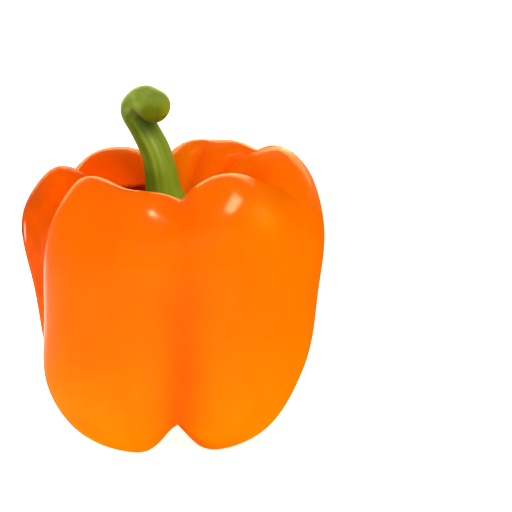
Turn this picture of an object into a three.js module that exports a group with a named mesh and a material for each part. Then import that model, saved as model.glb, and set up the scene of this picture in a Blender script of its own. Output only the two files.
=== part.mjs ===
// Bell pepper that stands upright: a lobed fruit, and the green stem that grows from the hollow in its top.
// Millimetres, +Z up, four small flats under the fruit at z = 0.
// Azimuth is counted in degrees from +X, counter-clockwise seen from above; the photographed side is -90.
import * as THREE from 'three';
import { mergeVertices } from 'three/addons/utils/BufferGeometryUtils.js';

// Heights of the two ends of the axis
const DIMPLE_Z = 9.0;      // hollow of the blossom end, above the table
const CAVITY_Z = 66.5;     // floor of the hollow that the stem grows from
const NUB_RADIUS = 1.5;    // scar in the middle of the blossom end
const NUB_HEIGHT = 1.1;

// Heights of the stations that all the lobes share
const HEEL_Z = 6.5;
const FLANK_Z = 22.0;
const WAIST_Z = 43.0;
const BELLY_Z = 62.0;
const SHOULDER_DROP = 8.5; // shoulder below its crest
const BROW_DROP = 5.5;     // inner brow below its crest
const CALYX_BED_RADIUS = 10.5;
const CALYX_BED_RISE = 3.0;

// The eight bulges, counter-clockwise: radii of the outline, then the crest and the foot
const LOBES = [
  { name: 'front, right of the middle', belly: 43.0, waist: 42.0, flank: 40.0, heel: 33.0, crestR: 26.0, crestZ: 80.4, footR: 20.5, footZ: -0.6 },
  { name: 'right front', belly: 44.0, waist: 44.0, flank: 42.8, heel: 35.2, crestR: 27.0, crestZ: 84.0, footR: 20.0, footZ: -1.2 },
  { name: 'right', belly: 47.0, waist: 45.0, flank: 42.0, heel: 34.0, crestR: 33.0, crestZ: 86.3, footR: 21.0, footZ: -1.2 },
  { name: 'right back', belly: 45.0, waist: 43.0, flank: 40.0, heel: 33.0, crestR: 30.0, crestZ: 84.8, footR: 21.0, footZ: 0.2 },
  { name: 'back', belly: 43.0, waist: 42.0, flank: 40.0, heel: 33.0, crestR: 27.0, crestZ: 84.8, footR: 21.0, footZ: 0.3 },
  { name: 'left back', belly: 43.0, waist: 41.0, flank: 39.0, heel: 33.0, crestR: 29.0, crestZ: 82.5, footR: 21.0, footZ: -1.1 },
  { name: 'left', belly: 44.6, waist: 41.3, flank: 37.5, heel: 32.0, crestR: 32.2, crestZ: 82.0, footR: 21.0, footZ: 0.2 },
  { name: 'left front', belly: 43.0, waist: 43.0, flank: 42.3, heel: 33.6, crestR: 29.0, crestZ: 83.4, footR: 20.5, footZ: -0.9 },
];

// The furrow before each bulge: azimuth on the crown and at the foot, angular reach, keenness of its edge,
// and its depth at the inner brow, crest, shoulder, belly, waist, flank and foot
const FURROWS = [
  { top: -120, low: -125, reach: 14, keen: 0.0, brow: 1.0, crest: 1.5, shoulder: 0.4, belly: 0.2, waist: 0.0, flank: 0.0, foot: 0.0 },
  { top: -80, low: -83, reach: 13, keen: 1.0, brow: 5.0, crest: 4.8, shoulder: 2.2, belly: 1.6, waist: 2.0, flank: 3.5, foot: 11.0 },
  { top: -16, low: -6, reach: 16, keen: 1.0, brow: 7.0, crest: 9.0, shoulder: 4.5, belly: 1.2, waist: 0.8, flank: 2.0, foot: 8.0 },
  { top: 34, low: 40, reach: 10, keen: 0.8, brow: 5.0, crest: 4.5, shoulder: 2.0, belly: 0.6, waist: 0.3, flank: 0.0, foot: 0.0 },
  { top: 66, low: 88, reach: 12, keen: 0.5, brow: 3.0, crest: 1.2, shoulder: 1.0, belly: 1.5, waist: 2.0, flank: 3.5, foot: 8.0 },
  { top: 97, low: 135, reach: 14, keen: 1.0, brow: 6.0, crest: 7.0, shoulder: 4.0, belly: 1.0, waist: 0.5, flank: 0.0, foot: 0.0 },
  { top: 158, low: 172, reach: 12, keen: 1.0, brow: 5.0, crest: 6.0, shoulder: 5.0, belly: 2.5, waist: 1.0, flank: 0.0, foot: 0.0 },
  { top: 201, low: 195, reach: 10, keen: 1.0, brow: 7.0, crest: 9.0, shoulder: 9.0, belly: 7.5, waist: 6.0, flank: 4.0, foot: 7.0 },
];

// How keen a furrow's edge is at each of the twelve stations, as a share of its own keenness
const KEENNESS = [0.3, 0.6, 0.8, 0.5, 0.2, 0.1, 0.1, 0.25, 0.9, 0.9, 0.6, 0.3];
const TURN_FROM = 3;       // furrows turn from their low to their top azimuth between these two stations
const TURN_TO = 8;

// Stem: centre line and radius from the calyx to the knob that ends the hook
const STALK = [
  [-0.7, 0.4, 69.8, 6.6],
  [-1.6, 0.3, 74.0, 5.3],
  [-2.4, 0.0, 80.0, 4.7],
  [-3.9, 0.0, 86.2, 4.4],
  [-7.0, 0.0, 92.6, 4.15],
  [-9.4, -0.4, 97.4, 4.2],
  [-8.2, -2.7, 100.3, 4.25],
  [-6.2, -5.0, 101.5, 4.6],
  [-3.6, -7.1, 100.5, 4.85],
];
const KNOB_LENGTH = 4.3;   // rounded end past the last point of the centre line
const KNOB_ANGLES = [20, 40, 60, 77];
const KNOB_FULLNESS = 0.8; // 1 is a plain ellipsoid, less is fuller
const RIDGES = 5;          // long ridges of the stem
const RIDGE_DEPTH = 0.05;  // as a share of the radius
const CALYX_POINTS = 6;
const CALYX_GAP = 0.45;    // clearance between the calyx and the skin under it
const CALYX_EDGE = 10.12;   // station of the calyx's edge between two points
const CALYX_REACH = 0.22;  // how much further a point reaches
const CALYX_THICK = 1.0;   // thickness at the edge

// Mesh fineness
const COLUMN_DEGREES = 6;  // wanted step between two columns of the fruit; the stem has half as many
const ROWS_PER_STATION = 4;
const STALK_ROWS = 3;

const ORANGE = 0xff7a00;
const GREEN = 0x6f8a24;

const radians = (degrees) => degrees * Math.PI / 180;
const clamp = (x, low, high) => Math.min(Math.max(x, low), high);
const smooth = (x) => x * x * (3 - 2 * x);
const mix = (a, b, share) => a + (b - a) * share;

// Curve through four neighbouring values, at share x between the second and the third
function through(p0, p1, p2, p3, x) {
  const bend = 2 * p0 - 5 * p1 + 4 * p2 - p3;
  const turn = 3 * p1 - p0 - 3 * p2 + p3;
  return 0.5 * (2 * p1 + (p2 - p0) * x + bend * x * x + turn * x * x * x);
}

// Value of a list of numbers at a real-valued place in it
function along(list, place) {
  const k = clamp(Math.floor(place), 0, list.length - 2);
  const at = (i) => list[clamp(i, 0, list.length - 1)];
  return through(at(k - 1), at(k), at(k + 1), at(k + 2), place - k);
}

// Outline of one bulge from the blossom end to the cavity floor, with a mirrored station past each end
function crownLine(lobe) {
  const points = [
    [0, DIMPLE_Z],
    [lobe.footR * 0.42, DIMPLE_Z * 0.66 + lobe.footZ * 0.3],
    [lobe.footR, lobe.footZ],
    [lobe.heel, HEEL_Z],
    [lobe.flank, FLANK_Z],
    [lobe.waist, WAIST_Z],
    [lobe.belly, BELLY_Z],
    [mix(lobe.crestR, lobe.belly, 0.72), lobe.crestZ - SHOULDER_DROP],
    [lobe.crestR, lobe.crestZ],
    [lobe.crestR * 0.58, lobe.crestZ - BROW_DROP],
    [CALYX_BED_RADIUS, CAVITY_Z + CALYX_BED_RISE],
    [0, CAVITY_Z],
  ];
  const before = [-points[1][0], points[1][1]];
  const after = [-points[10][0], points[10][1]];
  const all = [before, ...points, after];
  return { r: all.map((p) => p[0]), z: all.map((p) => p[1]) };
}

function furrowDepths(f) {
  const low = 0.45 * f.foot;
  const heel = 0.5 * f.foot + 0.5 * f.flank;
  const depths = [0, low, f.foot, heel, f.flank, f.waist, f.belly, f.shoulder, f.crest, f.brow, 0.3 * f.brow, 0];
  return [low, ...depths, 0.3 * f.brow];
}

const CROWNS = LOBES.map(crownLine);
const DEPTHS = FURROWS.map(furrowDepths);
const LAST_STATION = KEENNESS.length - 1;
const FOOT_STATION = 2;

// Azimuth of furrow k at a station
function furrowAzimuth(k, station) {
  const turn = smooth(clamp((station - TURN_FROM) / (TURN_TO - TURN_FROM), 0, 1));
  const wraps = Math.floor(k / FURROWS.length);
  const f = FURROWS[k - wraps * FURROWS.length];
  return radians(mix(f.low, f.top, turn) + 360 * wraps);
}

// Outline at share s of bulge k, blended between neighbouring bulges
function blendedOutline(k, s, station) {
  const n = LOBES.length;
  const x = s < 0.5 ? s + 0.5 : s - 0.5;
  const base = s < 0.5 ? k - 1 : k;
  const four = [-1, 0, 1, 2].map((j) => CROWNS[(base + j + n) % n]);
  const r = four.map((c) => along(c.r, station + 1));
  const z = four.map((c) => along(c.z, station + 1));
  return [through(...r, x), through(...z, x)];
}

// Share of a furrow's depth at share x of the bulge beside it
function furrowShare(x, width, furrow, station) {
  const reach = radians(furrow.reach);
  const hard = (1 - x) ** Math.max(width / reach, 1.6);
  const soft = Math.cos(Math.PI / 2 * Math.min(x / Math.min(2.2 * reach / width, 1), 1)) ** 2;
  const keen = furrow.keen * clamp(along(KEENNESS, station), 0, 1);
  return keen * hard + (1 - keen) * soft;
}

// Point of the fruit's skin; lift raises it off the skin, fill is the share of the furrows that it follows
function skinPoint(k, s, station, lift = 0, fill = 1) {
  const n = LOBES.length;
  const from = furrowAzimuth(k, station);
  const width = furrowAzimuth(k + 1, station) - from;
  const [r0, z0] = blendedOutline(k, s, station);
  const [ra, za] = blendedOutline(k, s, station - 0.004);
  const [rb, zb] = blendedOutline(k, s, station + 0.004);
  const length = Math.hypot(rb - ra, zb - za);
  const here = Math.max(along(DEPTHS[k], station + 1), 0) * furrowShare(s, width, FURROWS[k], station);
  const next = (k + 1) % n;
  const there = Math.max(along(DEPTHS[next], station + 1), 0) * furrowShare(1 - s, width, FURROWS[next], station);
  const depth = (here + there) * fill - lift;
  const r = Math.max(r0 - depth * (zb - za) / length, 0);
  const nub = station < 1 ? NUB_HEIGHT * Math.exp(-((r / NUB_RADIUS) ** 2)) : 0;
  const z = Math.max(z0 + depth * (rb - ra) / length - nub, 0);
  const azimuth = from + s * width;
  return new THREE.Vector3(r * Math.cos(azimuth), r * Math.sin(azimuth), z);
}

// Columns of a mesh, closer together beside the furrows; every second one for the stem
function columns(every) {
  const list = [];
  LOBES.forEach((_, k) => {
    const width = (station) => furrowAzimuth(k + 1, station) - furrowAzimuth(k, station);
    const pairs = Math.round((width(0) + width(LAST_STATION)) / radians(4 * COLUMN_DEGREES));
    for (let i = 0; i < 2 * pairs; i += every) {
      const even = i / (2 * pairs);
      const eased = 0.5 - 0.5 * Math.cos(Math.PI * even);
      list.push({ k, s: mix(even, eased, 0.5) });
    }
  });
  return list;
}

// Closed surface: the net of a sphere pulled over rings of points, the lowest ring first.
// The first and the last ring are one point each.
function closedSurface(rings) {
  const around = rings[1].length;
  const last = rings.length - 1;
  const net = new THREE.SphereGeometry(1, around, last);
  const position = net.getAttribute('position');
  for (let i = 0; i < position.count; i += 1) {
    const ring = rings[last - Math.floor(i / (around + 1))];
    const point = ring[(i % (around + 1)) % ring.length];
    position.setXYZ(i, point.x, point.y, point.z);
  }
  net.deleteAttribute('normal');
  net.deleteAttribute('uv');
  const geometry = mergeVertices(net, 1e-5);
  geometry.computeVertexNormals();
  return geometry;
}

// Fruit: one solid from the nub of the blossom end, over the outside, to the cavity floor
function fruitGeometry() {
  const stations = [0.05, 0.1, 0.16, 0.25, 0.4, 0.6, 0.8];
  for (let row = ROWS_PER_STATION; row < LAST_STATION * ROWS_PER_STATION; row += 1) {
    stations.push(row / ROWS_PER_STATION);
  }
  stations.push(FOOT_STATION - 0.12, FOOT_STATION + 0.12);
  stations.sort((a, b) => a - b);
  const around = columns(1);
  const rings = stations.map((station) => around.map(({ k, s }) => skinPoint(k, s, station)));
  return closedSurface([[skinPoint(0, 0, 0)], ...rings, [skinPoint(0, 0, LAST_STATION)]]);
}

// Centre, direction and radius of the stalk at a real-valued place in its list
function stalkAt(place) {
  const [x, y, z, radius] = [0, 1, 2, 3].map((i) => along(STALK.map((p) => p[i]), place));
  return { centre: new THREE.Vector3(x, y, z), radius };
}

// Rings of the stalk, each turned on from the one before it with no twist
function stalkRings(angles) {
  const last = STALK.length - 1;
  const count = last * STALK_ROWS;
  const rings = [];
  let side = new THREE.Vector3(1, 0, 0);
  for (let i = 0; i <= count; i += 1) {
    const place = i / STALK_ROWS;
    const { centre, radius } = stalkAt(place);
    const before = stalkAt(Math.max(place - 0.02, 0)).centre;
    const ahead = stalkAt(Math.min(place + 0.02, last)).centre;
    const way = ahead.sub(before).normalize();
    side = side.clone().addScaledVector(way, -side.dot(way)).normalize();
    const up = new THREE.Vector3().crossVectors(way, side);
    const ridged = RIDGE_DEPTH * smooth(clamp(place, 0, 1)) * smooth(clamp((last - place) / 2.5, 0, 1));
    const ring = angles.map((angle) => {
      const r = radius * (1 + ridged * Math.cos(RIDGES * angle + 0.6) + 0.4 * ridged * Math.cos(8 * angle + 2));
      return centre.clone().addScaledVector(side, r * Math.cos(angle)).addScaledVector(up, r * Math.sin(angle));
    });
    rings.push(ring);
    if (i === count) {
      rings.push(...knob(ring, centre, way));
    }
  }
  return rings;
}

// Rounded end of the hook: rings that draw in along an ellipsoid
function knob(ring, centre, way) {
  const rings = KNOB_ANGLES.map((degrees) => {
    const share = Math.cos(radians(degrees)) ** KNOB_FULLNESS;
    const middle = centre.clone().addScaledVector(way, KNOB_LENGTH * Math.sin(radians(degrees)));
    return ring.map((point) => middle.clone().addScaledVector(point.clone().sub(centre), share));
  });
  return [...rings, [centre.clone().addScaledVector(way, KNOB_LENGTH)]];
}

// Stem and calyx: one green piece, bedded in the cavity with a small clearance
function stemGeometry() {
  const around = columns(2);
  const angles = around.map(({ k, s }) => mix(furrowAzimuth(k, LAST_STATION), furrowAzimuth(k + 1, LAST_STATION), s));
  const edges = angles.map((angle) => {
    const point = (0.5 + 0.5 * Math.cos(CALYX_POINTS * angle)) ** 1.5;
    return CALYX_EDGE - CALYX_REACH * point;
  });
  const calyxRing = (share, lift, fill) => around.map(({ k, s }, i) => {
    const station = mix(edges[i], LAST_STATION, share);
    return skinPoint(k, s, station, lift, fill);
  });
  const under = [0.75, 0.5, 0.25, 0.08].map((share) => calyxRing(share, CALYX_GAP, 1));
  const edge = calyxRing(0, CALYX_GAP + 0.5 * CALYX_THICK, 0.9);
  const over = [[0.08, 0], [0.2, 0.3], [0.32, 1.1]].map(([share, more]) => (
    calyxRing(share, CALYX_GAP + CALYX_THICK + more, 0.7)));
  const start = skinPoint(0, 0, LAST_STATION, CALYX_GAP, 1);
  return closedSurface([[start], ...under, edge, ...over, ...stalkRings(angles)]);
}

function solid(name, geometry, color, roughness) {
  const mesh = new THREE.Mesh(geometry, new THREE.MeshStandardMaterial({ color, roughness, metalness: 0 }));
  mesh.name = name;
  return mesh;
}

// Both pieces, centred on their common box
function bellPepper() {
  const fruit = solid('fruit', fruitGeometry(), ORANGE, 0.3);
  const stem = solid('stem', stemGeometry(), GREEN, 0.6);
  const group = new THREE.Group();
  group.name = 'bell_pepper';
  group.add(fruit, stem);
  const middle = new THREE.Box3().setFromObject(group).getCenter(new THREE.Vector3());
  [fruit, stem].forEach((mesh) => mesh.geometry.translate(-middle.x, -middle.y, 0));
  return group;
}

export default bellPepper();
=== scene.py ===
"""Bell pepper: an upright orange fruit with eight bulges, and its hooked green stem.

Each shape is a surface worked out on a grid of columns round the upright axis and rows along it, in
millimetres, and put into its mesh in metres. Azimuth is counted in degrees from +X, counter-clockwise
seen from above, so -90 faces the camera.
"""

import logging
import math
from dataclasses import dataclass, field
from enum import Enum
from typing import Any

import bpy
import numpy as np
from mathutils import Matrix, Vector


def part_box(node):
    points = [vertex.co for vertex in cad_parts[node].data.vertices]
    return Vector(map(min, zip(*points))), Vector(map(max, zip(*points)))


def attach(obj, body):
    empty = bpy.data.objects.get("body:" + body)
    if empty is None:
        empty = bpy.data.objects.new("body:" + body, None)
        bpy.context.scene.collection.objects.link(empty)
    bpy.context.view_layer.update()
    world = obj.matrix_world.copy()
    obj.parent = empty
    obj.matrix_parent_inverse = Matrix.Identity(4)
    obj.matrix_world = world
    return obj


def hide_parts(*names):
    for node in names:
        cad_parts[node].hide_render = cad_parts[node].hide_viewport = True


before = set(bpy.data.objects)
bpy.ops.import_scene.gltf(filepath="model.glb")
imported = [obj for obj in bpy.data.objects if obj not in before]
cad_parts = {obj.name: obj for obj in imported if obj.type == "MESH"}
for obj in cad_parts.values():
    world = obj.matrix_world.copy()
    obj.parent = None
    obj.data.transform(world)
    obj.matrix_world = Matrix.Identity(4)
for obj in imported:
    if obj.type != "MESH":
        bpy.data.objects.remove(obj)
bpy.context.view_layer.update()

MM = 0.001
IMAGE_PIXELS = 512
LAST_STATION = 11
SMALL_STEP = 0.004
LOG = logging.getLogger("bell_pepper")


def to_linear(code: str, alpha: float = 1.0) -> tuple[float, float, float, float]:
    """Turns an sRGB hex colour to linear light.

    Args:
        code: Six hex digits after a hash.
        alpha: Fourth value of the result.

    Returns:
        Red, green, blue and alpha. Each channel is divided by 12.92 where it is at most 0.04045, and
        otherwise shifted by 0.055, divided by 1.055 and raised to the power 2.4.
    """
    channels = [int(code[i : i + 2], 16) / 255 for i in (1, 3, 5)]
    linear = [c / 12.92 if c <= 0.04045 else ((c + 0.055) / 1.055) ** 2.4 for c in channels]
    return (linear[0], linear[1], linear[2], alpha)


def add(
    tree: bpy.types.NodeTree, kind: str, settings: dict[str, Any], inputs: dict[Any, Any]
) -> bpy.types.Node:
    """Adds a node with its settings and its links.

    Args:
        tree: Node tree that takes the node.
        kind: Blender's type name of the node.
        settings: Properties of the node by name.
        inputs: Sockets by name or number, each with a value, or with the output that is linked to it.

    Returns:
        The new node.
    """
    node = tree.nodes.new(kind)
    for name, value in settings.items():
        setattr(node, name, value)
    for name, value in inputs.items():
        if isinstance(value, bpy.types.NodeSocket):
            tree.links.new(value, node.inputs[name])
        else:
            node.inputs[name].default_value = value
    return node


def through(p0: np.ndarray, p1: np.ndarray, p2: np.ndarray, p3: np.ndarray, x: np.ndarray) -> np.ndarray:
    """Curve through four neighbouring values, at share x between the second and the third.

    Args:
        p0: First value.
        p1: Second value.
        p2: Third value.
        p3: Fourth value.
        x: Share.

    Returns:
        Half of: twice the second, plus x times the span from first to third, plus x squared times the
        bend, plus x cubed times the turn.
    """
    bend = 2 * p0 - 5 * p1 + 4 * p2 - p3
    turn = 3 * p1 - p0 - 3 * p2 + p3
    return 0.5 * (2 * p1 + (p2 - p0) * x + bend * x**2 + turn * x**3)


def along(table: np.ndarray, place: np.ndarray, column: np.ndarray) -> np.ndarray:
    """Values of a table at real-valued row numbers.

    Args:
        table: Rows of values, one column for each curve.
        place: Row numbers.
        column: Column numbers, of a shape that fits place.

    Returns:
        The curve through the four rows round each place.
    """
    last = table.shape[0] - 1
    k = np.clip(np.floor(place).astype(int), 0, last - 1)
    four = [table[np.clip(k + j, 0, last), column] for j in (-1, 0, 1, 2)]
    return through(*four, place - k)


def smooth(x: np.ndarray) -> np.ndarray:
    """Eases a share between 0 and 1: three times its square less twice its cube."""
    x = np.clip(x, 0.0, 1.0)
    return x * x * (3 - 2 * x)


def around(angle: np.ndarray, middle: Any) -> np.ndarray:
    """Degrees from a middle direction to angles given in radians, the short way round."""
    return (np.degrees(angle) - middle + 180) % 360 - 180


def mix(a: Any, b: Any, share: Any) -> Any:
    """Value at a share of the way from a to b."""
    return a + (b - a) * share


@dataclass(frozen=True)
class Rise:
    """An eased rise from 0 to 1 along the stations or any other measure: its start and its length."""

    start: float
    length: float

    def share(self, x: np.ndarray) -> np.ndarray:
        """Eased share of the length that x lies past the start."""
        return smooth((x - self.start) / self.length)


@dataclass(frozen=True)
class Patch:
    """A soft-edged patch of the skin.

    It has a middle and a half width in degrees round the axis, a steepness of these edges, a strength, and
    a rise and a fall along the stations where it doesn't reach the whole way.
    """

    middle: float
    spread: float
    steepness: int = 2
    strength: float = 1.0
    rise: Rise | None = None
    fall: Rise | None = None

    def share(self, azimuth: np.ndarray, station: np.ndarray) -> np.ndarray:
        """How much of the patch lies at each point.

        Args:
            azimuth: Azimuths in radians.
            station: Stations.

        Returns:
            Strength times the bell curve round the axis, times the rise, times one less the fall.
        """
        share = self.strength * np.exp(-((around(azimuth, self.middle) / self.spread) ** self.steepness))
        if self.rise:
            share = share * self.rise.share(station)
        if self.fall:
            share = share * (1 - self.fall.share(station))
        return share


@dataclass(frozen=True)
class Spot:
    """A soft round spot: its middle and radius in mm, its strength, and how steep its edge is."""

    x: float
    y: float
    z: float
    radius: float
    strength: float = 1.0
    steepness: int = 4

    def share(self, points: np.ndarray) -> np.ndarray:
        """Strength times the bell curve of the distance over the radius, with the given steepness."""
        off = np.linalg.norm(points - np.array((self.x, self.y, self.z)), axis=-1)
        return self.strength * np.exp(-((off / self.radius) ** self.steepness))


def closed_mesh(name: str, rings: np.ndarray, first: np.ndarray, last: np.ndarray) -> bpy.types.Mesh:
    """Makes a closed mesh of rings of points and a point at each end.

    Args:
        name: Name of the mesh.
        rings: Points by ring, column and axis, in millimetres, the columns counter-clockwise.
        first: Point before the first ring.
        last: Point past the last ring.

    Returns:
        The mesh in metres: four-sided faces between the rings, and a fan of triangles at each end. Each
        face lists its points so that it faces away from the inside.
    """
    n_rings, n_columns = rings.shape[:2]
    points = np.vstack([rings.reshape(-1, 3), first, last]) * MM
    here = np.arange(n_columns)
    beside = (here + 1) % n_columns
    low = (np.arange(n_rings - 1) * n_columns)[:, None]
    quads = np.stack([low + here, low + beside, low + beside + n_columns, low + here + n_columns], axis=-1)
    start = np.full(n_columns, n_rings * n_columns)
    top = (n_rings - 1) * n_columns
    under = np.stack([start, beside, here], axis=-1)
    over = np.stack([start + 1, top + here, top + beside], axis=-1)
    mesh = bpy.data.meshes.new(name)
    mesh.from_pydata(points.tolist(), [], quads.reshape(-1, 4).tolist() + under.tolist() + over.tolist())
    mesh.shade_smooth()
    mesh.update()
    return mesh


def write_attribute(mesh: bpy.types.Mesh, name: str, rings: np.ndarray, first: Any, last: Any) -> None:
    """Writes one value, or one vector of three, for each point of a closed mesh.

    Args:
        mesh: Mesh from closed_mesh.
        name: Name of the attribute.
        rings: Values by ring and column, with a third axis for a vector.
        first: Value of the point before the first ring.
        last: Value of the point past the last ring.
    """
    width = rings.shape[2] if rings.ndim == 3 else 1
    kind, slot = ("FLOAT_VECTOR", "vector") if width == 3 else ("FLOAT", "value")
    values = np.vstack([rings.reshape(-1, width), np.atleast_1d(first), np.atleast_1d(last)])
    attribute = mesh.attributes.new(name, kind, "POINT")
    attribute.data.foreach_set(slot, values.astype(np.float32).ravel())


def new_piece(name: str, mesh: bpy.types.Mesh, material: bpy.types.Material) -> bpy.types.Object:
    """Makes an object at the origin.

    Args:
        name: Name of the object.
        mesh: Its mesh.
        material: Its one material.

    Returns:
        The object, in the scene.
    """
    piece = bpy.data.objects.new(name, mesh)
    mesh.materials.append(material)
    bpy.context.scene.collection.objects.link(piece)
    return piece


def new_tree(name: str) -> tuple[bpy.types.Material, bpy.types.NodeTree, bpy.types.Node]:
    """Makes a material with only its output node.

    Args:
        name: Name of the material.

    Returns:
        The material, its node tree and the output node.
    """
    material = bpy.data.materials.new(name)
    material.use_nodes = True
    tree = material.node_tree
    tree.nodes.clear()
    return material, tree, add(tree, "ShaderNodeOutputMaterial", {}, {})


@dataclass(frozen=True)
class RipePepperSkin:
    """Skin of a ripe sweet pepper: a thin clear wax over dyed flesh that lets light in.

    Grown, so it is smooth but never quite even. The wax gives soft highlights and a pale edge where the
    skin turns away, and the flesh gives a saturated orange that goes redder in the furrows. Its colour
    also holds painted light: painted shade partly in the furrows, low in the hollow, at the front foot
    and on the left side, painted highlights on a shoulder and beside the scab, and painted light inside
    the hollow on the right.
    """

    ripe: str = "#FF6A00"
    red: str = "#F85200"
    yellow: str = "#FF7D00"
    tan: str = "#CC4A00"
    blossom_scar: str = "#B98A4A"
    scab: str = "#8E2A1C"
    # Pale peach of the painted highlight beside the scab.
    painted_glint: str = "#F8B490"
    # Dark red of the painted shade low in the hollow.
    crease: str = "#7A1200"
    yellow_from_mm: float = 8.0
    yellow_to_mm: float = -34.0
    yellow_share: float = 0.75
    blotch_mm: float = 26.0
    blotch_range: tuple[float, float] = (0.42, 0.75)
    blotch_share: float = 0.35
    fold_share: float = 0.85
    mottle_mm: float = 6.0
    mottle_range: tuple[float, float] = (0.3, 0.65)
    tan_range: tuple[float, float] = (0.5, 0.95)
    streak_per_turn: float = 42.0
    streak_share: float = 0.1
    scab_place_mm: tuple[float, float, float] = (-44.5, -2.0, 62.0)
    scab_radius_mm: float = 1.8
    scab_edge: tuple[float, float] = (1.4, 0.5)
    painted_glint_place_mm: tuple[float, float, float] = (-43.5, -3.6, 62.4)
    painted_glint_radius_mm: float = 0.7
    painted_glint_edge: tuple[float, float] = (1.5, 0.5)
    painted_glint_stretch: float = 4.0
    painted_glint_share: float = 0.8
    dimple_mm: float = 0.9
    dimple_depth_mm: float = 0.1
    dimple_strength: float = 0.06
    roughness: float = 0.38
    hollow_roughness: float = 0.55
    ior: float = 1.42
    gloss_level: float = 0.0
    glow: float = 0.2
    glow_depth_mm: float = 2.0
    glow_reach: tuple[float, float, float] = (1.0, 0.35, 0.08)
    wax: float = 0.1
    wax_roughness: float = 0.14

    def build(self, centre: Vector) -> bpy.types.Material:
        """Makes the material.

        Args:
            centre: Middle of the fruit, where the patterns are centred.

        Returns:
            The material.
        """
        material, tree, output = new_tree("ripe_pepper_skin")
        place = add(tree, "ShaderNodeTexCoord", {}, {}).outputs["Object"]
        in_mm = add(tree, "ShaderNodeMapping", {"vector_type": "POINT"}, {
            "Vector": place,
            "Location": tuple(-c / MM for c in centre),
            "Scale": (1 / MM,) * 3,
        }).outputs[0]
        shares = {
            name: add(tree, "ShaderNodeAttribute", {"attribute_name": name}, {}).outputs["Fac"]
            for name in ("furrow", "scar", "hollow", "blush_and_painted_shade", "pale", "tan_and_painted_shade", "deep_painted_shade", "wax")
        }
        meridian = add(tree, "ShaderNodeAttribute", {"attribute_name": "meridian"}, {}).outputs["Vector"]
        blotch, mottle, dimples = (
            add(tree, "ShaderNodeTexNoise", {}, {
                "Vector": in_mm, "Scale": 1 / size, "Detail": detail}).outputs["Fac"]
            for size, detail in ((self.blotch_mm, 2.0), (self.mottle_mm, 3.0), (self.dimple_mm, 1.0))
        )
        streaks = add(tree, "ShaderNodeTexNoise", {}, {
            "Vector": meridian, "Scale": self.streak_per_turn / (2 * math.pi), "Detail": 3.0})

        redden = add(tree, "ShaderNodeMapRange", {}, {
            "Value": blotch,
            "From Min": self.blotch_range[0],
            "From Max": self.blotch_range[1],
            "To Max": self.blotch_share,
        })
        height = add(tree, "ShaderNodeSeparateXYZ", {}, {"Vector": in_mm}).outputs["Z"]
        low = add(tree, "ShaderNodeMapRange", {"interpolation_type": "SMOOTHSTEP"}, {
            "Value": height,
            "From Min": self.yellow_from_mm,
            "From Max": self.yellow_to_mm,
            "To Max": self.yellow_share,
        })
        # Redder along the furrows: partly the skin's own colour and partly painted shade in the folds.
        furrow_red_and_shade = add(tree, "ShaderNodeMapRange", {}, {"Value": shares["furrow"], "To Max": self.fold_share})
        uneven = add(tree, "ShaderNodeMapRange", {}, {
            "Value": mottle,
            "From Min": self.mottle_range[0],
            "From Max": self.mottle_range[1],
            "To Min": self.tan_range[0],
            "To Max": self.tan_range[1],
        })
        tan_and_painted_shade = add(tree, "ShaderNodeMath", {"operation": "MULTIPLY"}, {
            0: shares["tan_and_painted_shade"], 1: uneven.outputs[0]})
        away = add(tree, "ShaderNodeVectorMath", {"operation": "DISTANCE"}, {
            0: place, 1: tuple(c * MM for c in self.scab_place_mm)})
        healed = add(tree, "ShaderNodeMapRange", {"interpolation_type": "SMOOTHSTEP"}, {
            "Value": away.outputs["Value"],
            "From Min": self.scab_edge[0] * self.scab_radius_mm * MM,
            "From Max": self.scab_edge[1] * self.scab_radius_mm * MM,
        })
        # Painted highlight: a pale upright streak beside the scab.
        squeeze = (1.0, 1.0, 1 / self.painted_glint_stretch)
        flat = add(tree, "ShaderNodeMapping", {}, {"Vector": place, "Scale": squeeze})
        beside = add(tree, "ShaderNodeVectorMath", {"operation": "DISTANCE"}, {
            0: flat.outputs[0], 1: tuple(c * scale * MM for c, scale in zip(self.painted_glint_place_mm, squeeze))})
        glinted = add(tree, "ShaderNodeMapRange", {"interpolation_type": "SMOOTHSTEP"}, {
            "Value": beside.outputs["Value"],
            "From Min": self.painted_glint_edge[0] * self.painted_glint_radius_mm * MM,
            "From Max": self.painted_glint_edge[1] * self.painted_glint_radius_mm * MM,
            "To Max": self.painted_glint_share,
        })

        colour = to_linear(self.ripe)
        for blend, share, tint in (
            ("MIX", low.outputs[0], to_linear(self.yellow)),
            ("MIX", redden.outputs[0], to_linear(self.red)),
            ("MIX", furrow_red_and_shade.outputs[0], to_linear(self.red)),
            # Paler at the front right, with painted light on a shoulder and inside the hollow on the right.
            ("MIX", shares["pale"], to_linear(self.yellow)),
            # Redder on the left as the skin's own blush and in the hollow; low on the front right it is
            # painted shade.
            ("MIX", shares["blush_and_painted_shade"], to_linear(self.red)),
            # Browner on the left side: partly mottled colour of the skin and partly painted shade.
            ("MIX", tan_and_painted_shade.outputs[0], to_linear(self.tan)),
            ("SOFT_LIGHT", self.streak_share, streaks.outputs["Color"]),
            ("MIX", shares["scar"], to_linear(self.blossom_scar)),
            ("MIX", healed.outputs[0], to_linear(self.scab)),
            ("MIX", glinted.outputs[0], to_linear(self.painted_glint)),
            # Painted shade low in the hollow, behind the stem on the left.
            ("MIX", shares["deep_painted_shade"], to_linear(self.crease)),
        ):
            colour = add(tree, "ShaderNodeMix", {"data_type": "RGBA", "blend_type": blend}, {
                "Factor": share, "A": colour, "B": tint}).outputs["Result"]

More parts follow.
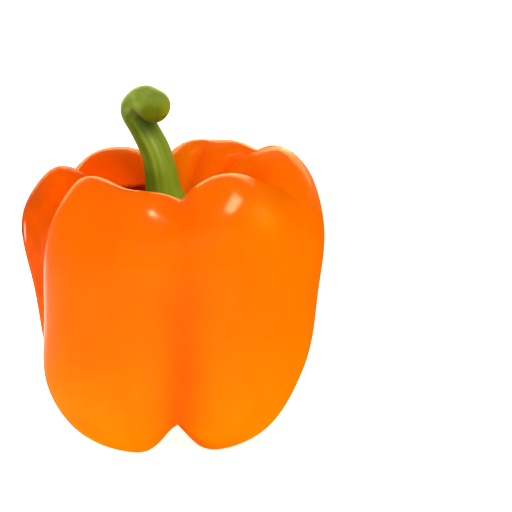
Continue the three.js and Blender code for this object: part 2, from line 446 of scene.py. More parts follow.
        relief = add(tree, "ShaderNodeBump", {}, {
            "Height": dimples, "Strength": self.dimple_strength, "Distance": self.dimple_depth_mm * MM})
        rough = add(tree, "ShaderNodeMapRange", {}, {
            "Value": shares["hollow"], "To Min": self.roughness, "To Max": self.hollow_roughness})
        waxed = add(tree, "ShaderNodeMath", {"operation": "MULTIPLY"}, {0: shares["wax"], 1: self.wax})
        shader = add(tree, "ShaderNodeBsdfPrincipled", {}, {
            "Base Color": colour,
            "Roughness": rough.outputs[0],
            "IOR": self.ior,
            "Specular IOR Level": self.gloss_level,
            "Subsurface Weight": self.glow,
            "Subsurface Radius": self.glow_reach,
            "Subsurface Scale": self.glow_depth_mm * MM,
            "Coat Weight": waxed.outputs[0],
            "Coat Roughness": self.wax_roughness,
            "Normal": relief.outputs[0],
        })
        tree.links.new(shader.outputs[0], output.inputs["Surface"])
        return material


@dataclass(frozen=True)
class GreenStalk:
    """Living green stem of a pepper: fibrous, with long fine ridges and a knob healed over in olive yellow.

    Grown. The fibres give long light and dark streaks. A painted highlight lies along the ridges that face
    the light, and painted shade in the grooves, on the left flank, under the hook and low on the left. The
    knob is smooth, yellower and mottled, painted lighter on its right and top and darker below.
    """

    # Pale green: painted ridge highlight and hook mottling. Dark green: painted shade in the grooves.
    light: str = "#9CAC54"
    green: str = "#7A8C2C"
    dark: str = "#465606"
    fresh: str = "#86AA24"
    # Dark green of the painted shade under the hook and low on the left of the stalk.
    painted_shade: str = "#2C4608"
    # The knob's end is painted lighter on its right and on top and darker below: painted light and shade.
    knob: str = "#8C9210"
    knob_shade: str = "#5E660A"
    knob_lit_top: str = "#74882C"
    fleck: str = "#3E2A10"
    ridge_range: tuple[float, float] = (0.6, 0.9)
    groove_range: tuple[float, float] = (0.45, 0.1)
    ridge_share: float = 0.6
    fresh_places: tuple[float, float] = (4.5, 1.0)
    fresh_share: float = 0.85
    fibre_mm: float = 0.5
    fibre_stretch: float = 0.06
    fibre_share: float = 0.4
    fibre_depth_mm: float = 0.2
    fibre_strength: float = 0.35
    mottle_mm: float = 3.5
    mottle_range: tuple[float, float] = (0.5, 0.66)
    mottle_share: float = 0.36
    hook_places: tuple[float, float] = (4.2, 6.2)
    stalk_mottle: float = 0.15
    lit_right_mm: tuple[float, float] = (-4.0, -0.5)
    fleck_place_mm: tuple[float, float, float] = (-0.9, -9.6, 96.9)
    fleck_edge_mm: tuple[float, float] = (3.0, 2.2)
    fleck_ragged_mm: float = 2.0
    top_mm: tuple[float, float] = (102.0, 105.0)
    top_ragged_mm: float = 4.0
    top_share: float = 0.8
    knob_places: tuple[float, float] = (8.3, 9.1)
    knob_ragged: float = 1.6
    roughness: float = 0.55
    ior: float = 1.42
    gloss_level: float = 0.03
    glow: float = 0.12
    glow_depth_mm: float = 1.2
    glow_reach: tuple[float, float, float] = (0.6, 1.0, 0.2)

    def build(self) -> bpy.types.Material:
        """Makes the material.

        Returns:
            The material.
        """
        material, tree, output = new_tree("green_pepper_stalk")
        straight = add(tree, "ShaderNodeAttribute", {"attribute_name": "straight"}, {}).outputs["Vector"]
        ridge, place, painted_shade_share = (
            add(tree, "ShaderNodeAttribute", {"attribute_name": name}, {}).outputs["Fac"]
            for name in ("ridge", "place", "painted_shade")
        )
        at = add(tree, "ShaderNodeTexCoord", {}, {}).outputs["Object"]
        in_mm = add(tree, "ShaderNodeMapping", {}, {"Vector": at, "Scale": (1 / MM,) * 3}).outputs[0]
        across = add(tree, "ShaderNodeSeparateXYZ", {}, {"Vector": in_mm}).outputs
        stretched = add(tree, "ShaderNodeMapping", {}, {
            "Vector": straight, "Scale": (1.0, 1.0, self.fibre_stretch)}).outputs[0]
        fibres = add(tree, "ShaderNodeTexNoise", {}, {
            "Vector": stretched, "Scale": 1 / self.fibre_mm, "Detail": 3.0, "Roughness": 0.55}).outputs["Fac"]
        mottle = add(tree, "ShaderNodeTexNoise", {}, {
            "Vector": in_mm, "Scale": 1 / self.mottle_mm, "Detail": 3.0, "Roughness": 0.6}).outputs["Fac"]

        raised, painted_groove_shade, pale = (
            add(tree, "ShaderNodeMapRange", {}, {
                "Value": value, "From Min": start, "From Max": end, "To Max": top}).outputs[0]
            for value, (start, end), top in (
                (ridge, self.ridge_range, self.ridge_share),
                (ridge, self.groove_range, self.ridge_share),
                (mottle, self.mottle_range, self.mottle_share),
            )
        )
        away = add(tree, "ShaderNodeVectorMath", {"operation": "DISTANCE"}, {
            0: in_mm, 1: self.fleck_place_mm}).outputs["Value"]
        fleck_edge, top_edge, knob_edge = (
            add(tree, "ShaderNodeMath", {"operation": "MULTIPLY_ADD"}, {
                0: mottle, 1: ragged, 2: value}).outputs[0]
            for ragged, value in (
                (self.fleck_ragged_mm, away), (self.top_ragged_mm, across["Z"]), (self.knob_ragged, place))
        )
        young, on_hook, lit_right, flecked, lit_top, healed = (
            add(tree, "ShaderNodeMapRange", {"interpolation_type": "SMOOTHSTEP"}, {
                "Value": value,
                "From Min": start,
                "From Max": end,
                "To Min": least,
                "To Max": most,
            }).outputs[0]
            for value, (start, end), least, most in (
                (place, self.fresh_places, 0.0, self.fresh_share),
                (place, self.hook_places, self.stalk_mottle, 1.0),
                (across["X"], self.lit_right_mm, 0.0, 1.0),
                (fleck_edge, self.fleck_edge_mm, 0.0, 1.0),
                (top_edge, self.top_mm, 0.0, self.top_share),
                (knob_edge, self.knob_places, 0.0, 1.0),
            )
        )
        blotched = add(tree, "ShaderNodeMath", {"operation": "MULTIPLY"}, {0: pale, 1: on_hook}).outputs[0]

        stalk = to_linear(self.green)
        # Painted light and shade on the knob's end: lighter on the right and on top, darker below.
        end = to_linear(self.knob_shade)
        for share, tint in (
            (lit_right, to_linear(self.knob)),
            (lit_top, to_linear(self.knob_lit_top)),
            (flecked, to_linear(self.fleck)),
        ):
            end = add(tree, "ShaderNodeMix", {"data_type": "RGBA"}, {
                "Factor": share, "A": end, "B": tint}).outputs["Result"]
        for blend, share, tint in (
            ("MIX", young, to_linear(self.fresh)),
            # Painted highlight on the ridges, painted shade in the grooves and on the left flank.
            ("MIX", raised, to_linear(self.light)),
            ("MIX", painted_groove_shade, to_linear(self.dark)),
            ("OVERLAY", self.fibre_share, fibres),
            ("MIX", blotched, to_linear(self.light)),
            # Painted shade under the hook and low on the left.
            ("MIX", painted_shade_share, to_linear(self.painted_shade)),
            ("MIX", healed, end),
        ):
            stalk = add(tree, "ShaderNodeMix", {"data_type": "RGBA", "blend_type": blend}, {
                "Factor": share, "A": stalk, "B": tint}).outputs["Result"]

        relief = add(tree, "ShaderNodeBump", {}, {
            "Height": fibres, "Strength": self.fibre_strength, "Distance": self.fibre_depth_mm * MM})
        shader = add(tree, "ShaderNodeBsdfPrincipled", {}, {
            "Base Color": stalk,
            "Roughness": self.roughness,
            "IOR": self.ior,
            "Specular IOR Level": self.gloss_level,
            "Subsurface Weight": self.glow,
            "Subsurface Radius": self.glow_reach,
            "Subsurface Scale": self.glow_depth_mm * MM,
            "Normal": relief.outputs[0],
        })
        tree.links.new(shader.outputs[0], output.inputs["Surface"])
        return material


@dataclass(frozen=True)
class OpalLightBoard:
    """Opal acrylic board lit from inside: it gives the eye a plain white ground and soft light from below.

    Moulded. A stronger lamp under it, behind the pepper on the left, makes the pale sheen on that side, and
    a softer one under the foot brightens what faces down.
    """

    white: str = "#F6F6F4"
    light: float = 0.38
    foot_light: float = 0.32
    foot_radius: float = 0.095
    foot_core: float = 0.4
    lamp: float = 2.2
    lamp_place: tuple[float, float, float] = (-0.15, 0.12, 0.0)
    lamp_radius: float = 0.12
    roughness: float = 0.85
    ior: float = 1.3

    def build(self) -> bpy.types.Material:
        """Makes the material.

        Returns:
            The material.
        """
        material, tree, output = new_tree("opal_light_board")
        at = add(tree, "ShaderNodeTexCoord", {}, {}).outputs["Object"]
        away = add(tree, "ShaderNodeVectorMath", {"operation": "DISTANCE"}, {0: at, 1: self.lamp_place})
        light = add(tree, "ShaderNodeMapRange", {"interpolation_type": "SMOOTHSTEP"}, {
            "Value": away.outputs["Value"],
            "From Min": 2 * self.lamp_radius,
            "From Max": 0.0,
            "To Min": self.light,
            "To Max": self.lamp,
        })
        from_foot = add(tree, "ShaderNodeVectorMath", {"operation": "LENGTH"}, {0: at})
        foot = add(tree, "ShaderNodeMapRange", {"interpolation_type": "SMOOTHSTEP"}, {
            "Value": from_foot.outputs["Value"],
            "From Min": self.foot_radius,
            "From Max": self.foot_core * self.foot_radius,
            "To Max": self.foot_light,
        })
        lit = add(tree, "ShaderNodeMath", {"operation": "ADD"}, {0: light.outputs[0], 1: foot.outputs[0]})
        shader = add(tree, "ShaderNodeBsdfPrincipled", {}, {
            "Base Color": to_linear(self.white),
            "Roughness": self.roughness,
            "IOR": self.ior,
            "Emission Color": (1.0, 1.0, 1.0, 1.0),
            "Emission Strength": lit.outputs[0],
        })
        tree.links.new(shader.outputs[0], output.inputs["Surface"])
        return material


@dataclass(frozen=True)
class Bulge:
    """One bulge: radii of its outline at the shared heights, then its crest and its foot, in mm."""

    belly: float
    waist: float
    flank: float
    heel: float
    crest_radius: float
    crest_height: float
    foot_radius: float
    foot_height: float


@dataclass(frozen=True)
class Furrow:
    """The furrow before a bulge: azimuths and reach in degrees, keenness of its edge, depths in mm."""

    top: float
    low: float
    reach: float
    keen: float
    brow: float
    crest: float
    shoulder: float
    belly: float
    waist: float
    flank: float
    foot: float


BULGES = (
    Bulge(43.0, 42.0, 40.0, 33.0, 26.0, 80.4, 20.5, -0.6),
    Bulge(44.0, 44.0, 42.8, 35.2, 27.0, 84.0, 20.0, -1.2),
    Bulge(47.0, 45.0, 42.0, 34.0, 33.0, 86.3, 21.0, -1.2),
    Bulge(45.0, 43.0, 40.0, 33.0, 30.0, 84.8, 21.0, 0.2),
    Bulge(43.0, 42.0, 40.0, 33.0, 27.0, 84.8, 21.0, 0.3),
    Bulge(43.0, 41.0, 39.0, 33.0, 29.0, 82.5, 21.0, -1.1),
    Bulge(44.6, 41.3, 37.5, 32.0, 32.2, 82.0, 21.0, 0.2),
    Bulge(43.0, 43.0, 42.3, 33.6, 29.0, 83.4, 20.5, -0.9),
)

FURROWS = (
    Furrow(-120, -125, 14, 0.0, 1.0, 1.5, 0.4, 0.2, 0.0, 0.0, 0.0),
    Furrow(-80, -83, 13, 1.0, 5.0, 4.8, 2.2, 1.6, 2.0, 3.5, 11.0),
    Furrow(-16, -6, 16, 1.0, 7.0, 9.0, 4.5, 1.2, 0.8, 2.0, 8.0),
    Furrow(34, 40, 10, 0.8, 5.0, 4.5, 2.0, 0.6, 0.3, 0.0, 0.0),
    Furrow(66, 88, 12, 0.5, 3.0, 1.2, 1.0, 1.5, 2.0, 3.5, 8.0),
    Furrow(97, 135, 14, 1.0, 6.0, 7.0, 4.0, 1.0, 0.5, 0.0, 0.0),
    Furrow(158, 172, 12, 1.0, 5.0, 6.0, 5.0, 2.5, 1.0, 0.0, 0.0),
    Furrow(201, 195, 10, 1.0, 7.0, 9.0, 9.0, 7.5, 6.0, 4.0, 7.0),
)


@dataclass(frozen=True)
class WaxCover:
    """How thick the wax lies on the skin, as a share of its usual cover.

    It is thick high on the left edge of the front and on the crest at the right. It is thin on both sides,
    underneath and in the hollow, and rubbed off at a few places on the shoulders.
    """

    plain: float = 0.8
    left_edge: Patch = Patch(-150, 11, 2, 4.2, Rise(4.0, 0.9), Rise(5.6, 1.2))
    sides: tuple[Patch, ...] = (
        Patch(176, 19, 4, 0.75, fall=Rise(6.2, 1.0)),
        Patch(-15, 48, 4, 0.95, fall=Rise(6.2, 1.0)),
    )
    foot: Rise = Rise(2.6, 2.0)
    foot_cover: float = 0.05
    crest_station: float = 8.05
    crest_reach: float = 0.4
    crest_more: float = 0.3
    right_crest: Patch = Patch(16, 24, 4, 1.2)
    hollow: Rise = Rise(8.25, 0.45)
    rubbed: tuple[Spot, ...] = (
        Spot(32.4, -6.8, 75.6, 8.0),
        Spot(-29.7, -7.5, 77.9, 8.0),
        Spot(30.4, -20.2, 75.4, 8.0),
        Spot(36.6, -12.0, 72.4, 7.0),
        Spot(14.4, -28.8, 79.4, 3.0),
        Spot(2.8, -35.1, 73.0, 5.0),
        Spot(30.0, -4.4, 80.4, 5.0),
        Spot(-20.4, 12.6, 77.6, 6.0),
        Spot(25.6, -19.2, 79.8, 4.0),
        Spot(27.6, 10.4, 84.4, 4.6),
    )

    def share(self, points: np.ndarray, azimuth: np.ndarray, station: np.ndarray) -> np.ndarray:
        """The plain cover, times one more or one less each part's share in turn.

        Args:
            points: Points of the skin in millimetres.
            azimuth: Their azimuths in radians.
            station: Their stations.

        Returns:
            The cover at each point.
        """
        cover = self.plain + self.left_edge.share(azimuth, station)
        for side in self.sides:
            cover = cover * (1 - side.share(azimuth, station))
        cover = cover * mix(self.foot_cover, 1.0, self.foot.share(station))
        crest = np.exp(-(((station - self.crest_station) / self.crest_reach) ** 4))
        more = self.crest_more + self.right_crest.share(azimuth, station)
        cover = cover * (1 + crest * more) * (1 - self.hollow.share(station))
        for spot in self.rubbed:
            cover = cover * (1 - spot.share(points))
        return cover


@dataclass(frozen=True)
class Colouring:
    """Where the skin is redder, yellower, browner or darker than the rest."""

    red_side: Patch = Patch(158, 53, 2, 0.95, rise=Rise(3.5, 3.0))
    # Painted shade: redder low on the front right, near the foot.
    painted_heel_shade: Patch = Patch(-66, 30, 2, 0.9, fall=Rise(2.0, 1.1))
    red_inside: float = 0.3
    red_gap: Patch = Patch(84, 20, 4)
    yellow_front: Patch = Patch(-32, 32, 2, 0.55, fall=Rise(6.0, 2.0))
    # Painted light: lighter and yellower inside the hollow on the right.
    painted_light_inside: Patch = Patch(84, 17, 4, 0.7)
    # Painted highlight: a faint pale glow on the front right shoulder, beside the lamp's highlight.
    painted_shoulder_highlight: Spot = Spot(26.7, -29.2, 73.7, 4.5, 0.8, 2)
    # Browner on the left side: partly mottled colour of the skin and partly painted shade.
    tan_and_painted_shade_side: Patch = Patch(178, 22, 4, fall=Rise(7.0, 1.2))
    # Painted shade: a dark band low in the hollow behind the stem on the left.
    crease: Patch = Patch(142, 26, 4)
    crease_top_mm: float = 73.55
    crease_edge_mm: float = 0.8
    scar_radius_mm: float = 1.6

    def shares(
        self, points: np.ndarray, azimuth: np.ndarray, station: np.ndarray, hollow: np.ndarray
    ) -> dict[str, np.ndarray]:
        """Works out how much of each colour the skin takes.

        Args:
            points: Points of the skin in millimetres.
            azimuth: Their azimuths in radians.
            station: Their stations.
            hollow: How far each lies in the hollow of the crown.

        Returns:
            The share at each point, by the attribute's name. The dark crease is painted shade, low in
            the hollow, behind the stem on the left.
        """
        red = self.red_side.share(azimuth, station) + self.painted_heel_shade.share(azimuth, station)
        inside = self.red_inside * hollow * (1 - self.red_gap.share(azimuth, station))
        yellow = self.yellow_front.share(azimuth, station) + self.painted_shoulder_highlight.share(points)
        low = smooth((self.crease_top_mm - points[..., 2]) / self.crease_edge_mm)
        return {
            "blush_and_painted_shade": np.clip(red + inside, 0, 1),
            # Paler at the front right, with painted light on a shoulder and inside the hollow on the right.
            "pale": yellow + hollow * self.painted_light_inside.share(azimuth, station),
            "tan_and_painted_shade": self.tan_and_painted_shade_side.share(azimuth, station),
            "deep_painted_shade": self.crease.share(azimuth, station) * low * hollow,
        }


@dataclass
class Fruit:
    """The fruit: one skin from the nub of the blossom end, over the outside, to the floor of the cavity."""

    dimple_height: float = 9.0
    dimple_reach: float = 0.42
    dimple_share: float = 0.66
    dimple_lean: float = 0.3
    dimple_furrow: float = 0.45
    cavity_height: float = 66.5
    nub_radius: float = 1.5
    nub_height: float = 1.1
    nub_rows: tuple[float, ...] = (0.03, 0.06, 0.09, 0.12, 0.16, 0.2, 0.26, 0.34, 0.42, 0.5)
    heel_height: float = 6.5
    flank_height: float = 22.0
    waist_height: float = 43.0
    belly_height: float = 62.0
    shoulder_drop: float = 8.5
    shoulder_reach: float = 0.72
    brow_drop: float = 5.5
    brow_reach: float = 0.58
    bed_radius: float = 10.5
    bed_rise: float = 3.0
    bed_furrow: float = 0.3
    column_degrees: float = 1.5
    rows_per_station: int = 12
    keenness: tuple[float, ...] = (0.3, 0.6, 0.8, 0.5, 0.2, 0.1, 0.1, 0.25, 0.9, 0.9, 0.6, 0.3)
    least_power: float = 1.6
    soft_reach: float = 2.2
    turn: Rise = Rise(3.0, 5.0)
    hollow: Rise = Rise(8.0, 0.8)
    fold_depth: float = 2.5
    fold_reach: float = 0.7
    fold_fade: Rise = Rise(5.0, 1.6)
    fold_faded: float = 0.2
    streak_rise: float = 0.12
    pattern_height: float = 42.0
    wax: WaxCover = WaxCover()
    colouring: Colouring = Colouring()
    shift: np.ndarray = field(default_factory=lambda: np.zeros(3))

    def __post_init__(self) -> None:
        """Fills the tables by station: radius and height of each bulge's outline, depth of each furrow."""
        bulges = [self.outline(b) for b in BULGES]
        self.radii = np.array([[p[0] for p in line] for line in bulges]).T
        self.heights = np.array([[p[1] for p in line] for line in bulges]).T
        self.depths = np.array([self.furrow_depths(f) for f in FURROWS]).T
        turns = np.arange(len(FURROWS) + 1) // len(FURROWS)
        ring = [FURROWS[k % len(FURROWS)] for k in range(len(FURROWS) + 1)]
        self.top = np.radians([f.top for f in ring] + 360 * turns)
        self.low = np.radians([f.low for f in ring] + 360 * turns)
        self.reach = np.radians([f.reach for f in FURROWS])
        self.keen = np.array([f.keen for f in FURROWS])

    def outline(self, b: Bulge) -> list[tuple[float, float]]:
        """Outline of one bulge.

        Args:
            b: Sizes of the bulge.

        Returns:
            Radius and height at the twelve stations, with a mirrored pair past each end.
        """
        lean = self.dimple_lean * b.foot_height
        points = [
            (0.0, self.dimple_height),
            (self.dimple_reach * b.foot_radius, self.dimple_share * self.dimple_height + lean),
            (b.foot_radius, b.foot_height),
            (b.heel, self.heel_height),
            (b.flank, self.flank_height),
            (b.waist, self.waist_height),
            (b.belly, self.belly_height),
            (mix(b.crest_radius, b.belly, self.shoulder_reach), b.crest_height - self.shoulder_drop),
            (b.crest_radius, b.crest_height),
            (self.brow_reach * b.crest_radius, b.crest_height - self.brow_drop),
            (self.bed_radius, self.cavity_height + self.bed_rise),
            (0.0, self.cavity_height),
        ]
        return [(-points[1][0], points[1][1])] + points + [(-points[-2][0], points[-2][1])]

    def furrow_depths(self, f: Furrow) -> list[float]:
        """Depths of one furrow along the stations.

        Args:
            f: Sizes of the furrow.

        Returns:
            The depths at the twelve stations, with the neighbour's value repeated past each end.
        """
        heel = 0.5 * f.foot + 0.5 * f.flank
        upper = [f.flank, f.waist, f.belly, f.shoulder, f.crest, f.brow, self.bed_furrow * f.brow]
        inner = [self.dimple_furrow * f.foot, f.foot, heel] + upper
        return [inner[0], 0.0] + inner + [0.0, inner[-1]]

    def azimuth(self, station: np.ndarray, k: np.ndarray) -> np.ndarray:
        """Azimuth of furrow k at a station: it turns from its low to its top value with an eased share."""
        return mix(self.low[k], self.top[k], self.turn.share(station))

    def columns(self, every: int) -> tuple[np.ndarray, np.ndarray]:
        """Bulge number and share of its width for each column, closer together beside the furrows.

        Args:
            every: Step through the columns; the stem takes every second one.

        Returns:
            The bulge numbers and the shares. A share is the mean of an even one and a cosine one.
        """
        n = len(BULGES)
        width = (np.diff(self.top) + np.diff(self.low)) / 2
        pairs = np.round(width / np.radians(2 * self.column_degrees)).astype(int)
        even = [np.arange(0, 2 * p, every) / (2 * p) for p in pairs]
        number = np.concatenate([np.full(len(e), k) for k, e in zip(range(n), even)])
        share = np.concatenate(even)
        return number, 0.5 * share + 0.5 * (0.5 - 0.5 * np.cos(np.pi * share))

    def blended(self, k: np.ndarray, s: np.ndarray, station: np.ndarray) -> tuple[np.ndarray, np.ndarray]:
        """Outline at share s of bulge k: the curve through the outlines of the four nearest bulges.

        Args:
            k: Bulge number of each column.
            s: Share of the bulge's width of each column.
            station: Station of each ring and column.

        Returns:
            Radius and height.
        """
        n = len(BULGES)
        x = np.where(s < 0.5, s + 0.5, s - 0.5)
        base = np.where(s < 0.5, k - 1, k)
        near = [(base + j) % n for j in (-1, 0, 1, 2)]
        r = through(*(along(self.radii, station + 1, b) for b in near), x)
        z = through(*(along(self.heights, station + 1, b) for b in near), x)
        return r, z

    def furrow_depth(
        self, k: np.ndarray, x: np.ndarray, width: np.ndarray, station: np.ndarray
    ) -> np.ndarray:
        """Depth of furrow k at share x of the bulge beside it.

        The keen form is one less x, raised to the bulge's width over the furrow's reach. The soft form is
        the square of a cosine that ends soft_reach times the reach out. Keenness mixes the two.

        Args:
            k: Number of the furrow beside each column.
            x: Share of the bulge's width between the furrow and each column.
            width: Width of the bulge in radians.
            station: Station of each ring and column.

        Returns:
            The depth in millimetres.
        """
        reach = self.reach[k]
        hard = (1 - x) ** np.maximum(width / reach, self.least_power)
        end = np.minimum(self.soft_reach * reach / width, 1.0)
        soft = np.cos(np.pi / 2 * np.minimum(x / end, 1.0)) ** 2
        table = np.array(self.keenness)[:, None]
        keen = self.keen[k] * np.clip(along(table, station, 0), 0, 1)
        return np.maximum(along(self.depths, station + 1, k), 0) * mix(soft, hard, keen)

    def skin(
        self, k: np.ndarray, s: np.ndarray, station: np.ndarray, lift: Any = 0.0, fill: float = 1.0
    ) -> tuple[np.ndarray, np.ndarray]:
        """Points of the skin.

        Each point of the blended outline moves inwards along its own normal by the depth of the furrows
        on both sides. Below the table it stays on the table, which leaves a small flat under each foot.

        Args:
            k: Bulge number of each column.
            s: Share of the bulge's width of each column.
            station: Station of each ring and column.
            lift: How far to raise the points off the skin.
            fill: Share of the furrows' depth that is followed.

        Returns:
            The points by ring, column and axis in millimetres, and the furrows' depth at each.
        """
        start = self.azimuth(station, k)
        width = self.azimuth(station, k + 1) - start
        r0, z0 = self.blended(k, s, station)
        ra, za = self.blended(k, s, station - SMALL_STEP)
        rb, zb = self.blended(k, s, station + SMALL_STEP)
        length = np.hypot(rb - ra, zb - za)
        following = (k + 1) % len(BULGES)
        furrows = self.furrow_depth(k, s, width, station)
        furrows = furrows + self.furrow_depth(following, 1 - s, width, station)
        depth = furrows * fill - lift
        r = np.maximum(r0 - depth * (zb - za) / length, 0)
        nub = np.where(station < 1, self.nub_height * np.exp(-((r / self.nub_radius) ** 2)), 0)
        z = np.maximum(z0 + depth * (rb - ra) / length - nub, 0)
        a = start + s * width
        return np.stack([r * np.cos(a), r * np.sin(a), z], axis=-1) + self.shift, furrows

    def settle(self) -> None:
        """Sets the shift that puts the middle of the skin's box over the middle of the solid's box."""
        low, high = (np.array(corner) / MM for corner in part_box("fruit"))
        k, s = self.columns(1)
        station = np.repeat(np.linspace(1, 10, 200)[:, None], len(k), axis=1)
        points = self.skin(k, s, station)[0].reshape(-1, 3)
        middle = 0.5 * (low + high) - 0.5 * (points.min(axis=0) + points.max(axis=0))
        self.shift = np.array([middle[0], middle[1], 0.0])

    def build(self, finish: RipePepperSkin) -> bpy.types.Object:
        """Makes the fruit and dresses it.

        Args:
            finish: Finish of the skin.

        Returns:
            The finished piece, in the place of the solid fruit.
        """
        k, s = self.columns(1)
        first_row = round(self.nub_rows[-1] * self.rows_per_station) + 1
        last_row = LAST_STATION * self.rows_per_station
        rows = np.concatenate([self.nub_rows, np.arange(first_row, last_row) / self.rows_per_station])
        station = np.repeat(rows[:, None], len(k), axis=1)
        points, furrows = self.skin(k, s, station)
        ends = [self.skin(k[:1], s[:1], np.array([[e]]))[0][0, 0] for e in (0.0, float(LAST_STATION))]
        mesh = closed_mesh("pepper_fruit", points, *ends)
        a = self.azimuth(station, k) + s * (self.azimuth(station, k + 1) - self.azimuth(station, k))
        hollow = self.hollow.share(station)
        width = np.broadcast_to(self.low[k + 1] - self.low[k], station.shape)
        reach = np.where(s < 0.5, self.reach[k], self.reach[(k + 1) % len(BULGES)])
        near = np.minimum(s, 1 - s) * width / reach
        furrow = np.clip(furrows / self.fold_depth, 0, 1) * np.exp(-((near / self.fold_reach) ** 2))
        furrow = furrow * mix(1.0, self.fold_faded, self.fold_fade.share(station) * (1 - hollow))
        off = np.hypot(points[..., 0] - self.shift[0], points[..., 1] - self.shift[1])
        scar = np.where(station < 1, np.exp(-((off / self.colouring.scar_radius_mm) ** 4)), 0.0)
        meridian = np.stack([np.cos(a), np.sin(a), self.streak_rise * station], axis=-1)
        top = (0.0, 0.0, self.streak_rise * LAST_STATION)
        write_attribute(mesh, "meridian", meridian, (0.0, 0.0, 0.0), top)
        write_attribute(mesh, "furrow", furrow, 0.0, 0.0)
        write_attribute(mesh, "scar", scar, 1.0, 0.0)
        write_attribute(mesh, "hollow", hollow, 0.0, 1.0)
        write_attribute(mesh, "wax", self.wax.share(points, a, station), 1.0, 0.0)
        for name, share in self.colouring.shares(points, a, station, hollow).items():
            write_attribute(mesh, name, share, 0.0, 0.0)
        middle = Vector((float(self.shift[0]), float(self.shift[1]), self.pattern_height)) * MM
        piece = new_piece("pepper_fruit", mesh, finish.build(middle))
        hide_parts("fruit")
        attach(piece, "root")
        return piece


